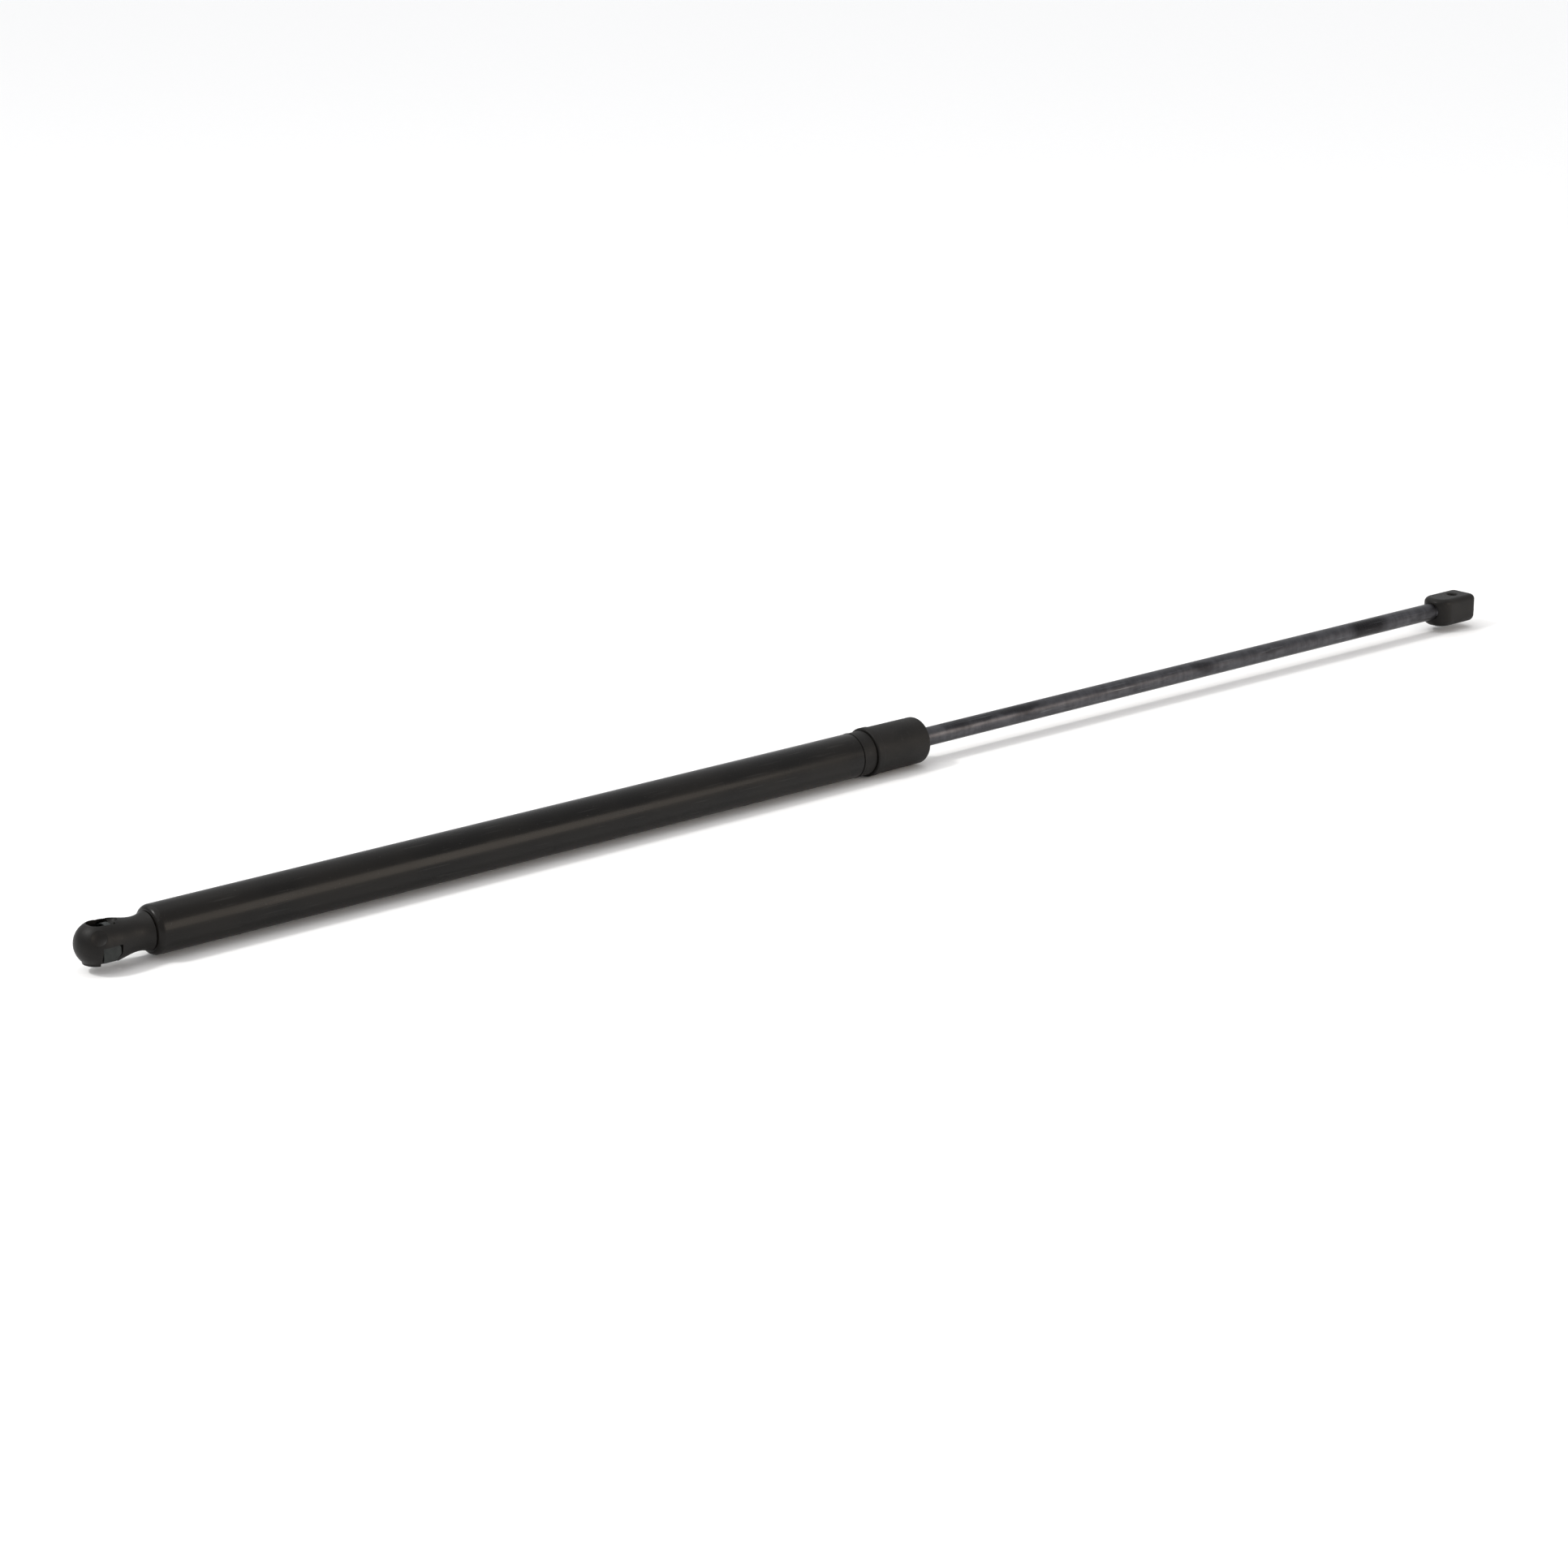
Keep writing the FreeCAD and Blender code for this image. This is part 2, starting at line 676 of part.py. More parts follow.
def piston_ring():
    """Split ring that seals the piston in the tube."""
    ring_end = ring_start + piston_ring_width
    ring = ring_x(ring_outer_radius, ring_inner_radius, ring_start, ring_end)
    half = piston_ring_slit / 2.0
    return ring.cut(block(ring_start, ring_end, -half, half, 0, tube_outer_radius))


pieces = {
    "tube_ball_socket": tube_ball_socket,
    "tube_clip": tube_clip,
    "end_stud": end_stud,
    "end_plug": end_plug,
    "end_plug_o_ring": end_plug_o_ring,
    "pressure_tube": pressure_tube,
    "buffer_ring": buffer_ring,
    "stop_ring": stop_ring,
    "spacer_sleeve": spacer_sleeve,
    "seal_retainer": lambda: flat_washer(retainer_start),
    "rod_seal": rod_seal,
    "seal_support_washer": lambda: flat_washer(seal_washer_start),
    "rod_guide": rod_guide,
    "guide_bush": guide_bush,
    "wiper_ring": wiper_ring,
    "cap_collar": cap_collar,
    "end_cap": end_cap,
    "piston_ring": piston_ring,
    "piston": piston,
    "piston_washer": piston_washer,
    "orifice_disc": orifice_disc,
    "piston_rod": piston_rod,
    "rod_ball_socket": rod_ball_socket,
    "rod_clip": rod_clip,
}

os.makedirs("parts", exist_ok=True)
for name, make in pieces.items():
    save(name, make())
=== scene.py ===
import bpy
import json
import math
from mathutils import Matrix, Vector


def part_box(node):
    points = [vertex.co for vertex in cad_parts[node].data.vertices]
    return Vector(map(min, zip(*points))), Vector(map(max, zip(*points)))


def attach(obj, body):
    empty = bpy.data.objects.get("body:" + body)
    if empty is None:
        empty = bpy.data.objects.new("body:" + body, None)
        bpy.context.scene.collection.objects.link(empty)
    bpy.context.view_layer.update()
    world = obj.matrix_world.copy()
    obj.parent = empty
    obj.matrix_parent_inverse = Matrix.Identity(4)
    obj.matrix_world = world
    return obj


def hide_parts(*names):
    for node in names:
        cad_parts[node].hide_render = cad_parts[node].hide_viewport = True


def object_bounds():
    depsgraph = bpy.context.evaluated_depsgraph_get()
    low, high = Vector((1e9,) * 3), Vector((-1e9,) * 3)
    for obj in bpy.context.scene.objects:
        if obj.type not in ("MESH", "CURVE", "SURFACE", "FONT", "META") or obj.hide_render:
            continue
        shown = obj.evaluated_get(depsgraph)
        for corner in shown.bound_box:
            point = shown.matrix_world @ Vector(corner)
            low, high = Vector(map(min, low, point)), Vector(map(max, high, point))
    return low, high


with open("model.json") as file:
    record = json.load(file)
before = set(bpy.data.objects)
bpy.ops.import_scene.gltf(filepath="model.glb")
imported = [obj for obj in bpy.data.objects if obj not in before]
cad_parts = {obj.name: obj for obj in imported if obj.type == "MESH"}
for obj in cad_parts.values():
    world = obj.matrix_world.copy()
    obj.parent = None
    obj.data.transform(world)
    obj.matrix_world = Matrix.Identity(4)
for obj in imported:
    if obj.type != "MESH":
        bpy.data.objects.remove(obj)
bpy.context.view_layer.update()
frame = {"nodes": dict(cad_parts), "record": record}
nodes = frame["nodes"]

MM = 0.001
SEGMENTS = 192                  # round the strut's axis
ARC_STEPS = 8                   # along each rounded corner of a turned outline
SHOULDER_STEPS = 16             # along the tube's rolled shoulder
SHARP_ANGLE = math.radians(38)
KEPT_FACES = 0.4                # share of an eased mesh's faces that flat stretches need
EASE = 0.5                      # strength of one smoothing pass
CORNER_SHARE = 0.49             # most of an edge that one rounded corner may use
AXIS_RADIUS = 0.0015            # points nearer the axis than this become poles

# Sizes in millimetres; places come from the frame.
TUBE_SHOULDER_EDGE = 7.5
TUBE_SHOULDER_LENGTH = 2.9
SEAM_GAP = 0.28                 # open seam between the socket's end and the tube
SEAM_FLOOR = 6.7
TUBE_SEAT_STEP = 0.55
TUBE_WALL = 1.2
TUBE_CLOSED_WALL = 1.4
TUBE_CLOSED_OPENING = 5.6
TUBE_LIP_OPENING = 6.2
TUBE_LIP_ROUND = 1.3
STOP_RING_GROOVE = 0.5
COLLAR_BEAD_LENGTH = 0.6
COLLAR_START_GAP = 0.28
COLLAR_END_GAP = 0.45
COLLAR_GROOVE_RISE = 0.06
COLLAR_BEAD_HEIGHT = 0.17
COLLAR_EDGE_ROUND = 0.14
CAP_LIP_LENGTH = 3.5
CAP_LIP_ROUND = 0.9
CAP_LIP_STEP = 0.33
CAP_TAPER = 0.09
CAP_END_ROUND = 2.2
CAP_END_WALL = 2.6
CAP_OPENING = 5.8
ROD_RADIUS = 4.0
ROD_SPIGOT = 3.0
ROD_THREAD = 3.9
ROD_THREAD_PITCH = 1.25
ROD_THREAD_DEPTH = 0.55
RIVET_STAND = 0.3               # how far the rivet's head stands out past the rod
RIVET_ROUND = 0.9
EDGE_BREAK = 0.15

# Where the dark smear on the rod fades in and out, in metres along the strut.
SMEAR_START = (0.664, 0.672)
SMEAR_END = (0.686, 0.696)

# Places of the colour sockets on a Mix node.
MIX_COLOUR_A = 6
MIX_COLOUR_B = 7
MIX_COLOUR_OUT = 2


# --- looks -----------------------------------------------------------------
class Look:
    """A procedural material being put together round one Principled shader."""

    def __init__(self, name, **constants):
        self.material = bpy.data.materials.new(name)
        self.material.use_nodes = True
        self.tree = self.material.node_tree
        self.shader = self.tree.nodes["Principled BSDF"]
        for socket, value in constants.items():
            self.shader.inputs[socket.replace("_", " ")].default_value = value
        self.place = self.add("ShaderNodeTexCoord").outputs["Object"]
        self.normal = None

    def feed(self, socket, value):
        """Links another node's output to a socket, or sets the socket to a constant."""
        if isinstance(value, bpy.types.NodeSocket):
            self.tree.links.new(value, socket)
        else:
            socket.default_value = value

    def add(self, kind, inputs=(), **settings):
        """Adds a node, sets its options, and feeds its inputs."""
        node = self.tree.nodes.new(kind)
        for setting, value in settings.items():
            setattr(node, setting, value)
        for socket, value in dict(inputs).items():
            self.feed(node.inputs[socket], value)
        return node

    def noise(self, size, detail=2.0, stretch=(1.0, 1.0, 1.0), roughness=0.5, offset=0.0):
        """Noise whose features are about size across, longer by stretch along each axis."""
        scale = [1.0 / (size * along) for along in stretch]
        shift = (offset, offset, offset)
        mapping = self.add("ShaderNodeMapping", {"Vector": self.place, "Scale": scale, "Location": shift})
        inputs = {"Vector": mapping.outputs[0], "Scale": 1.0, "Detail": detail, "Roughness": roughness}
        return self.add("ShaderNodeTexNoise", inputs).outputs["Fac"]

    def along_x(self):
        """Distance along the strut, in metres."""
        return self.add("ShaderNodeSeparateXYZ", {"Vector": self.place}).outputs["X"]

    def span(self, value, low, high, to_low=0.0, to_high=1.0):
        """Maps a value smoothly from one range to another."""
        inputs = {"Value": value, "From Min": low, "From Max": high, "To Min": to_low, "To Max": to_high}
        return self.add("ShaderNodeMapRange", inputs, interpolation_type="SMOOTHSTEP").outputs["Result"]

    def maths(self, operation, a, b):
        """Result of one operation on two values."""
        node = self.add("ShaderNodeMath", operation=operation)
        self.feed(node.inputs[0], a)
        self.feed(node.inputs[1], b)
        return node.outputs[0]

    def blend(self, factor, a, b):
        """Colour between a and b."""
        node = self.add("ShaderNodeMix", data_type="RGBA")
        self.feed(node.inputs["Factor"], factor)
        self.feed(node.inputs[MIX_COLOUR_A], a)
        self.feed(node.inputs[MIX_COLOUR_B], b)
        return node.outputs[MIX_COLOUR_OUT]

    def use(self, socket, value):
        """Links a value to one of the shader's sockets."""
        self.tree.links.new(value, self.shader.inputs[socket])

    def bump(self, height, depth):
        """Adds one layer of relief, depth in metres, over the layers before it."""
        node = self.add("ShaderNodeBump", {"Height": height, "Distance": depth, "Strength": 1.0})
        if self.normal is not None:
            self.tree.links.new(self.normal, node.inputs["Normal"])
        self.normal = node.outputs["Normal"]
        self.use("Normal", self.normal)


def grey(level, warmth=0.0):
    """A near-neutral colour; warmth above 0 is redder, below 0 bluer."""
    return (level * (1.0 + warmth), level, level * (1.0 - warmth), 1.0)


def tube_paint():
    """Satin black paint with orange peel, faint scuffs and a little dust."""
    look = Look("tube_paint", Specular_IOR_Level=0.14, Coat_Weight=0.05, Coat_Roughness=0.10)
    broad = look.noise(0.030, detail=3.0)
    peel = look.noise(0.0011, detail=1.5)
    grain = look.noise(0.00016, detail=1.0)
    scuffs = look.noise(0.0009, detail=2.0, stretch=(22.0, 1.0, 1.0), offset=3.1)
    dust = look.noise(0.00045, detail=1.0, offset=7.7)
    base = look.blend(look.span(broad, 0.35, 0.65), grey(0.0038, 0.12), grey(0.0060, 0.16))
    scuffed = look.span(scuffs, 0.62, 0.72)
    base = look.blend(look.maths("MULTIPLY", scuffed, 0.22), base, grey(0.035, 0.03))
    base = look.blend(look.maths("MULTIPLY", look.span(dust, 0.76, 0.80), 0.30), base, grey(0.16, 0.02))
    look.use("Base Color", base)
    rough = look.span(broad, 0.3, 0.7, 0.25, 0.33)
    rough = look.maths("ADD", rough, look.maths("MULTIPLY", scuffed, 0.10))
    look.use("Roughness", look.maths("ADD", rough, look.span(grain, 0.3, 0.7, -0.02, 0.03)))
    look.bump(peel, 0.000012)
    look.bump(grain, 0.0000025)
    look.bump(scuffed, 0.000002)
    return look.material


def rod_surface():
    """Dark nitrided rod: fine grinding rings, slightly mottled, oily patches and one smear."""
    look = Look("rod_surface", Metallic=1.0, Specular_IOR_Level=0.5)
    rings = look.noise(0.00007, detail=3.0, stretch=(1.0, 60.0, 60.0))
    bands = look.noise(0.0030, detail=3.0, stretch=(1.0, 12.0, 12.0), offset=2.0)
    mottle = look.noise(0.0042, detail=4.0, stretch=(2.2, 1.0, 1.0), roughness=0.6, offset=5.0)
    patches = look.noise(0.017, detail=3.0, stretch=(1.9, 0.8, 0.8), roughness=0.55, offset=1.3)
    drag = look.noise(0.0004, detail=2.0, stretch=(60.0, 1.0, 1.0), offset=9.0)
    tone = look.maths("ADD", look.maths("MULTIPLY", mottle, 0.6), look.maths("MULTIPLY", bands, 0.4))
    base = look.blend(look.span(tone, 0.38, 0.62), (0.056, 0.055, 0.060, 1.0), (0.084, 0.083, 0.090, 1.0))
    along = look.along_x()
    smear = look.maths("MULTIPLY", look.span(along, *SMEAR_START), look.span(along, *SMEAR_END, 1.0, 0.0))
    smear = look.maths("MULTIPLY", smear, look.span(mottle, 0.30, 0.37))
    oily = look.maths("MAXIMUM", look.maths("MULTIPLY", look.span(patches, 0.57, 0.66), 0.55), smear)
    base = look.blend(look.maths("MULTIPLY", oily, 0.95), base, (0.015, 0.014, 0.015, 1.0))
    base = look.blend(look.maths("MULTIPLY", look.span(drag, 0.64, 0.72), 0.35), base, grey(0.24, -0.03))
    look.use("Base Color", base)
    rough = look.span(rings, 0.3, 0.7, 0.30, 0.40)
    rough = look.maths("ADD", rough, look.maths("MULTIPLY", oily, -0.06))
    look.use("Roughness", rough)
    look.bump(rings, 0.0000030)
    look.bump(mottle, 0.000006)
    return look.material


def moulding(name, level, roughness, texture):
    """Black moulded nylon with a spark-eroded texture and slight flow marks."""
    look = Look(name, Specular_IOR_Level=0.17)
    pits = look.noise(texture, detail=2.0)
    fine = look.noise(texture / 3.0, detail=1.0, offset=4.0)
    flow = look.noise(0.0060, detail=3.0, stretch=(2.0, 1.0, 1.0), offset=8.0)
    rubbed = look.noise(0.0021, detail=3.0, offset=2.2)
    base = look.blend(look.span(flow, 0.35, 0.65), grey(level, 0.10), grey(level * 1.45, 0.11))
    worn = look.maths("MULTIPLY", look.span(rubbed, 0.60, 0.75), 0.35)
    base = look.blend(worn, base, grey(level * 2.6, 0.08))
    look.use("Base Color", base)
    rough = look.span(pits, 0.3, 0.7, roughness, roughness + 0.12)
    look.use("Roughness", look.maths("ADD", rough, look.span(rubbed, 0.58, 0.75, 0.0, -0.07)))
    look.bump(flow, 0.000035)
    look.bump(pits, 0.000014)
    look.bump(fine, 0.000004)
    return look.material


def spring_steel():
    """Blackened spring strip with a greenish cast and rolled grain."""
    look = Look("spring_steel", Metallic=0.55, Specular_IOR_Level=0.5)
    rolled = look.noise(0.00012, detail=2.0, stretch=(1.0, 1.0, 24.0))
    stain = look.noise(0.0018, detail=4.0, offset=6.0)
    base = look.blend(look.span(stain, 0.35, 0.65), (0.0115, 0.0135, 0.0130, 1.0), (0.019, 0.022, 0.021, 1.0))
    base = look.blend(look.maths("MULTIPLY", look.span(rolled, 0.62, 0.74), 0.3), base, grey(0.05, 0.0))
    look.use("Base Color", base)
    look.use("Roughness", look.span(stain, 0.3, 0.7, 0.36, 0.50))
    look.bump(rolled, 0.000003)
    look.bump(stain, 0.000005)
    return look.material


def turned_metal(name, colour, roughness):
    """Turned metal with tool rings round the strut's axis."""
    look = Look(name, Metallic=1.0)
    rings = look.noise(0.00009, detail=2.0, stretch=(1.0, 50.0, 50.0))
    cloud = look.noise(0.0045, detail=3.0, offset=3.0)
    dark = tuple(0.72 * c for c in colour) + (1.0,)
    look.use("Base Color", look.blend(look.span(cloud, 0.3, 0.7), dark, colour + (1.0,)))
    look.use("Roughness", look.span(rings, 0.3, 0.7, roughness, roughness + 0.15))
    look.bump(rings, 0.000004)
    return look.material


def soft_polymer(name, level, roughness):
    """Rubber or filled plastic of the hidden seals and rings."""
    look = Look(name)
    cloud = look.noise(0.0022, detail=4.0)
    fine = look.noise(0.00011, detail=2.0, offset=5.0)
    look.use("Base Color", look.blend(look.span(cloud, 0.3, 0.7), grey(level * 0.8), grey(level * 1.15)))
    look.use("Roughness", look.span(fine, 0.3, 0.7, roughness, roughness + 0.1))
    look.bump(fine, 0.000006)
    return look.material


looks = {
    "tube_paint": tube_paint(),
    "rod_surface": rod_surface(),
    "socket_moulding": moulding("socket_moulding", 0.0056, 0.40, 0.00030),
    "cap_moulding": moulding("cap_moulding", 0.0058, 0.46, 0.00022),
    "spring_steel": spring_steel(),
    "plain_steel": turned_metal("plain_steel", (0.56, 0.56, 0.57), 0.24),
    "guide_alloy": turned_metal("guide_alloy", (0.66, 0.66, 0.67), 0.34),
    "bush_lining": turned_metal("bush_lining", (0.58, 0.40, 0.23), 0.30),
    "ring_plastic": soft_polymer("ring_plastic", 0.62, 0.42),
    "seal_rubber": soft_polymer("seal_rubber", 0.022, 0.55),
}

node_slots = {part["node"]: part["material_slot"] for part in frame["record"]["subparts"]}
for node_name, node in nodes.items():
    for slot in node.material_slots:
        slot.material = looks[node_slots[node_name]]


# --- turned pieces ---------------------------------------------------------
def corner(before, here, after, size):
    """Points of one rounded corner of an outline."""
    back, on = before - here, after - here
    half = back.angle(on) / 2.0
    reach = min(size / math.tan(half), back.length * CORNER_SHARE, on.length * CORNER_SHARE)
    radius = reach * math.tan(half)
    towards = (back.normalized() + on.normalized()).normalized()
    centre = here + towards * (radius / math.sin(half))
    start = here + back.normalized() * reach - centre
    end = here + on.normalized() * reach - centre
    sweep = start.angle_signed(end)
    return [centre + Matrix.Rotation(-sweep * i / ARC_STEPS, 2) @ start for i in range(ARC_STEPS + 1)]


def rounded(points):
    """A closed outline of (x, radius, round) points in millimetres, with its corners rounded."""
    flat = [Vector(point[:2]) for point in points]
    outline = []
    for i, here in enumerate(flat):
        size = points[i][2]
        if size:
            outline += corner(flat[i - 1], here, flat[(i + 1) % len(flat)], size)
        else:
            outline.append(here)
    return outline


def finish_piece(mesh, name, slot, body, replaced):
    """Makes an object of a mesh, with its look, body and CAD node."""
    mesh.materials.clear()
    mesh.materials.append(looks[slot])
    for face in mesh.polygons:
        face.use_smooth = True
    mesh.set_sharp_from_angle(angle=SHARP_ANGLE)
    piece = bpy.data.objects.new(name, mesh)
    bpy.context.scene.collection.objects.link(piece)
    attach(piece, body)
    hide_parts(replaced)


def lathe(outline, name, slot, body, replaced):
    """Turns a closed outline round the strut's axis; points on the axis become poles."""
    points, faces, rows = [], [], []
    for point in outline:
        x, radius = point.x * MM, point.y * MM
        if point.y < AXIS_RADIUS:
            rows.append([len(points)] * SEGMENTS)
            points.append((x, 0.0, 0.0))
            continue
        rows.append(list(range(len(points), len(points) + SEGMENTS)))
        for i in range(SEGMENTS):
            angle = 2.0 * math.pi * i / SEGMENTS
            points.append((x, radius * math.sin(angle), radius * math.cos(angle)))
    for a, b in zip(rows, rows[1:] + rows[:1]):
        for i in range(SEGMENTS):
            j = (i + 1) % SEGMENTS
            face = list(dict.fromkeys((a[i], a[j], b[j], b[i])))
            if len(face) > 2:
                faces.append(face)
    mesh = bpy.data.meshes.new(name)
    mesh.from_pydata(points, [], faces)
    mesh.validate()
    mesh.update()
    finish_piece(mesh, name, slot, body, replaced)


def ends(node):
    """Where a CAD node starts and ends along the strut, and its outer radius, in millimetres."""
    low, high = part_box(node)
    return low[0] / MM, high[0] / MM, high[2] / MM


def thread(start, end):
    """Outline of a row of thread crests on the rod's end."""
    crests = []
    x = start
    while x + ROD_THREAD_PITCH < end - EDGE_BREAK:
        crests.append((x + ROD_THREAD_PITCH / 2.0, ROD_THREAD - ROD_THREAD_DEPTH, 0))
        crests.append((x + ROD_THREAD_PITCH, ROD_THREAD, 0))
        x += ROD_THREAD_PITCH
    return crests


tube_start, tube_end, tube_radius = ends("pressure_tube")
collar_start, collar_end, collar_radius = ends("cap_collar")
cap_start, cap_end, cap_radius = ends("end_cap")
stop_start, stop_end = ends("stop_ring")[:2]
guide_end = ends("rod_guide")[1]
rod_start, rod_end = ends("piston_rod")[:2]
disc_start = ends("orifice_disc")[0]
shoulder_x = ends("piston_washer")[1]
socket_face = ends("rod_ball_socket")[0]
seat_radius = tube_radius - TUBE_SEAT_STEP
bore_radius = tube_radius - TUBE_WALL
plug_face = tube_start + TUBE_CLOSED_WALL

shoulder = []
for step in range(SHOULDER_STEPS):
    turn = math.pi / 2.0 * step / SHOULDER_STEPS
    x = tube_start + SEAM_GAP + (TUBE_SHOULDER_LENGTH - SEAM_GAP) * (1.0 - math.cos(turn))
    shoulder.append((x, TUBE_SHOULDER_EDGE + (tube_radius - TUBE_SHOULDER_EDGE) * math.sin(turn), 0))

lathe(
    rounded(
        shoulder
        + [
            (tube_start + TUBE_SHOULDER_LENGTH, tube_radius, 0),
            (collar_start, tube_radius, EDGE_BREAK),
            (collar_start, seat_radius, 0),
            (tube_end, seat_radius, TUBE_LIP_ROUND),
            (tube_end, TUBE_LIP_OPENING, EDGE_BREAK),
            (guide_end, TUBE_LIP_OPENING, 0),
            (guide_end, bore_radius, 0),
            (stop_end, bore_radius, 0),
            (stop_end, bore_radius + STOP_RING_GROOVE, 0),
            (stop_start, bore_radius + STOP_RING_GROOVE, 0),
            (stop_start, bore_radius, 0),
            (plug_face, bore_radius, 0),
            (plug_face, TUBE_CLOSED_OPENING, 0),
            (tube_start, TUBE_CLOSED_OPENING, 0),
            (tube_start, SEAM_FLOOR, 0),
            (tube_start + SEAM_GAP, SEAM_FLOOR, 0),
        ]
    ),
    "painted_tube",
    "tube_paint",
    "cylinder",
    "pressure_tube",
)

lathe(
    rounded(
        [
            (collar_start, seat_radius, 0),
            (collar_start, seat_radius + COLLAR_GROOVE_RISE, 0),
            (collar_start + COLLAR_START_GAP, seat_radius + COLLAR_GROOVE_RISE, 0),
            (collar_start + COLLAR_START_GAP, collar_radius, COLLAR_EDGE_ROUND),
            (collar_start + COLLAR_BEAD_LENGTH, collar_radius, COLLAR_EDGE_ROUND),
            (collar_start + COLLAR_BEAD_LENGTH, collar_radius - COLLAR_BEAD_HEIGHT, 0),
            (collar_end - COLLAR_END_GAP, collar_radius - COLLAR_BEAD_HEIGHT, EDGE_BREAK),
            (collar_end - COLLAR_END_GAP, seat_radius + COLLAR_GROOVE_RISE, 0),
            (collar_end, seat_radius + COLLAR_GROOVE_RISE, 0),
            (collar_end, seat_radius, 0),
        ]
    ),
    "moulded_collar",
    "cap_moulding",
    "cylinder",
    "cap_collar",
)

lathe(
    rounded(
        [
            (cap_start, seat_radius, EDGE_BREAK),
            (cap_start, cap_radius, CAP_LIP_ROUND),
            (cap_start + CAP_LIP_LENGTH, cap_radius, CAP_LIP_STEP),
            (cap_start + CAP_LIP_LENGTH, cap_radius - CAP_LIP_STEP, 0),
            (cap_end, cap_radius - CAP_LIP_STEP - CAP_TAPER, CAP_END_ROUND),
            (cap_end, CAP_OPENING, EDGE_BREAK),
            (cap_end - CAP_END_WALL, CAP_OPENING, 0),
            (cap_end - CAP_END_WALL, seat_radius, 0),
        ]
    ),
    "moulded_cap",
    "cap_moulding",
    "cylinder",
    "end_cap",
)

lathe(
    rounded(
        [
            (rod_start, 0.0, 0),
            (rod_start, ROD_RADIUS + RIVET_STAND, RIVET_ROUND),
            (disc_start, ROD_RADIUS + RIVET_STAND, 0),
            (disc_start, ROD_SPIGOT, 0),
            (shoulder_x, ROD_SPIGOT, 0),
            (shoulder_x, ROD_RADIUS, EDGE_BREAK),
            (socket_face, ROD_RADIUS, EDGE_BREAK),
            (socket_face, ROD_THREAD, 0),
        ]
        + thread(socket_face, rod_end)
        + [(rod_end, ROD_THREAD - ROD_THREAD_DEPTH, 0), (rod_end, 0.0, 0)]
    ),
    "nitrided_rod",
    "rod_surface",
    "rod",
    "piston_rod",
)


# --- moulded sockets and bent clips ----------------------------------------
def soften(node, name, slot, body, voxel, passes):
    """Copies a CAD node into a fine even mesh and eases its edges as a mould or a tumbler does."""
    rough_piece = bpy.data.objects.new(name + "_source", nodes[node].data.copy())
    bpy.context.scene.collection.objects.link(rough_piece)
    remesh = rough_piece.modifiers.new("even", "REMESH")
    remesh.mode = "VOXEL"
    remesh.voxel_size = voxel * MM
    ease = rough_piece.modifiers.new("ease", "SMOOTH")
    ease.factor = EASE
    ease.iterations = passes
    thin = rough_piece.modifiers.new("thin", "DECIMATE")
    thin.ratio = KEPT_FACES
    graph = bpy.context.evaluated_depsgraph_get()
    mesh = bpy.data.meshes.new_from_object(rough_piece.evaluated_get(graph))
    mesh.name = name
    bpy.data.objects.remove(rough_piece)
    finish_piece(mesh, name, slot, body, node)


soften("tube_ball_socket", "moulded_tube_socket", "socket_moulding", "cylinder", 0.10, 5)
soften("rod_ball_socket", "moulded_rod_socket", "socket_moulding", "rod", 0.12, 8)
soften("tube_clip", "strip_clip", "spring_steel", "tube_clip", 0.08, 4)
soften("rod_clip", "fork_clip", "spring_steel", "rod_clip", 0.08, 4)


# --- floor, light, camera --------------------------------------------------
FLOOR_REACH = 14.0              # metres from the strut's middle
LAMP_DISTANCE = 2.0
KEY_DIRECTION = Vector((0.22, -0.22, -0.95))
KEY_STRENGTH = 1.2
KEY_ANGLE = math.radians(80)
GLOW_SIDE = Vector((0.44, -0.86, 0.27))     # towards the warm lamp in front
GLOW_POWER = 13.0
GLOW_SIZE = 1.2
GLINT_SIDE = Vector((-0.487, 0.252, 0.837)) # towards the small lamp over the tube's shoulder
GLINT_POWER = 17.0
GLINT_SIZE = 0.3
SKY_STRENGTH = 0.70
WHITE = (1.0, 0.99, 0.97)
WARM = (1.0, 0.87, 0.74)

low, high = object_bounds()
middle = (low + high) / 2.0

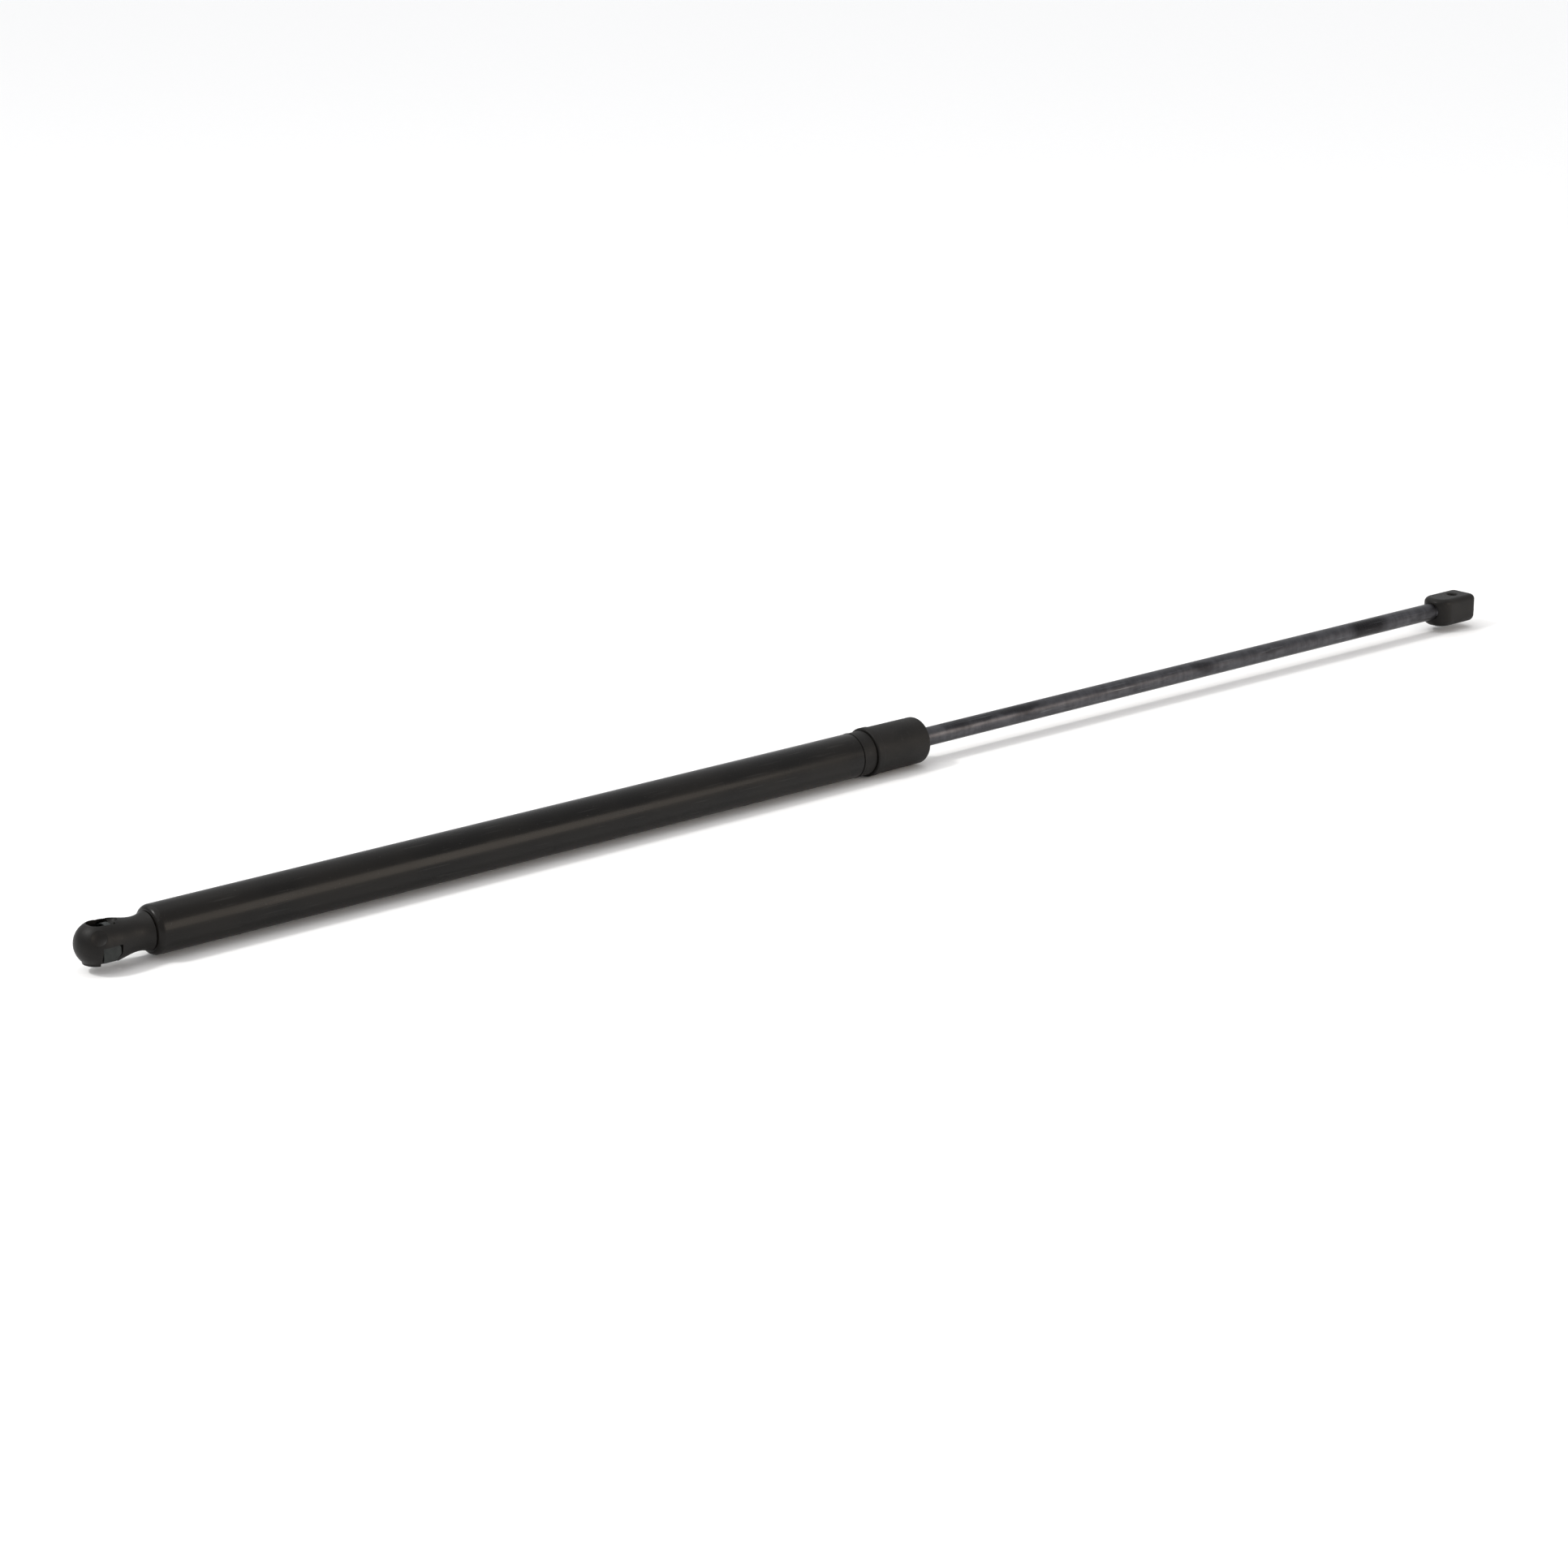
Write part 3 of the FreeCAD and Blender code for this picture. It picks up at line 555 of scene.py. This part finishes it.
floor_look = Look("floor_paper", Specular_IOR_Level=0.2)
paper = floor_look.noise(0.004, detail=3.0)
floor_look.use("Base Color", floor_look.blend(paper, grey(0.90), grey(0.93)))
floor_look.use("Roughness", floor_look.span(paper, 0.3, 0.7, 0.75, 0.85))
floor_mesh = bpy.data.meshes.new("floor")
quarter = [(-1, -1), (1, -1), (1, 1), (-1, 1)]
floor_points = [(middle.x + FLOOR_REACH * x, FLOOR_REACH * y, low.z) for x, y in quarter]
floor_mesh.from_pydata(floor_points, [], [range(len(quarter))])
floor_mesh.materials.append(floor_look.material)
floor = bpy.data.objects.new("floor", floor_mesh)
bpy.context.scene.collection.objects.link(floor)


def aim(thing, direction):
    """Turns a light so that it shines along a direction."""
    thing.rotation_mode = "QUATERNION"
    thing.rotation_quaternion = direction.to_track_quat("-Z", "Y")


def light(name, kind, towards_object, colour, power, **settings):
    """Adds a light that shines along a direction."""
    data = bpy.data.lights.new(name, kind)
    data.color = colour
    data.energy = power
    for setting, value in settings.items():
        setattr(data, setting, value)
    lamp = bpy.data.objects.new(name, data)
    aim(lamp, towards_object)
    bpy.context.scene.collection.objects.link(lamp)
    return lamp


light("key", "SUN", KEY_DIRECTION, WHITE, KEY_STRENGTH, angle=KEY_ANGLE)
glow = light("front_glow", "AREA", -GLOW_SIDE, WARM, GLOW_POWER, shape="DISK", size=GLOW_SIZE)
glow.location = middle + GLOW_SIDE * LAMP_DISTANCE
glint = light("shoulder_glint", "AREA", -GLINT_SIDE, WHITE, GLINT_POWER, shape="DISK", size=GLINT_SIZE)
glint.location = GLINT_SIDE * LAMP_DISTANCE

world = bpy.data.worlds.new("studio")
bpy.context.scene.world = world
world.use_nodes = True
background = world.node_tree.nodes["Background"]
background.inputs["Color"].default_value = (0.97, 0.98, 1.0, 1.0)
background.inputs["Strength"].default_value = SKY_STRENGTH
bpy.context.scene.view_settings.view_transform = "Standard"

camera_data = bpy.data.cameras.new("camera")
camera_data.lens = 82.0
camera_data.sensor_width = 36.0
camera = bpy.data.objects.new("camera", camera_data)
camera.location = (-0.5942, -1.0459, 0.4125)
camera.rotation_mode = "QUATERNION"
camera.rotation_quaternion = Matrix(
    ((0.7534, 0.1893, -0.6297), (-0.6575, 0.2170, -0.7215), (0.0, 0.9576, 0.2880))
).to_quaternion()
bpy.context.scene.collection.objects.link(camera)
bpy.context.scene.camera = camera
